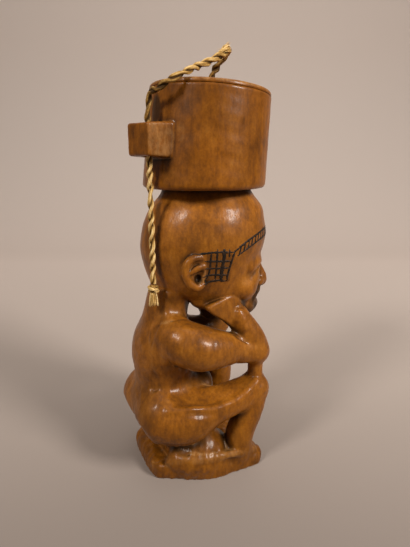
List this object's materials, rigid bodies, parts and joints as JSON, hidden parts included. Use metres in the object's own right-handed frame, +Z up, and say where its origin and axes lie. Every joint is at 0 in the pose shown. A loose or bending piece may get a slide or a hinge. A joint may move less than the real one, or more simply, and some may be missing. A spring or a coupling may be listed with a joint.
{
  "type": "carved tobacco box",
  "caption": "Squatting wooden figure on a plinth, chin on its hands, with a round lidded tobacco container on its head and a cord that holds the lid.",
  "frame": {"origin": "on the plinth's underside, below the container's axis", "axes": "+Z up, the figure faces -Y and its right side is at -X"},
  "size_m": [0.07, 0.078, 0.2178],
  "materials": {
    "wood": "hand-carved, oiled and polished by handling",
    "straw": "dry twisted raffia"
  },
  "bodies": {
    "carving": {"container": "wood", "plinth": "wood", "head": "wood", "right_leg": "wood", "right_arm": "wood", "left_leg": "wood", "left_arm": "wood", "trunk": "wood"},
    "cord_run": {"lid_knot": "straw", "cord_loop": "straw", "cord_tail": "straw", "end_knot": "straw", "end_tuft": "straw"},
    "lid": {"lid": "wood"}
  },
  "joints": [
    {"name": "lid_lift", "type": "slide", "parent": "carving", "child": "cord_run", "axis": [0, 0, 1], "range_m": [0, 0.0605]},
    {"name": "lid_turn", "type": "hinge", "parent": "cord_run", "child": "lid", "pos_m": [0, -0.0028, 0.1981], "axis": [0, -0.0645, 0.9979], "continuous": true}
  ]
}
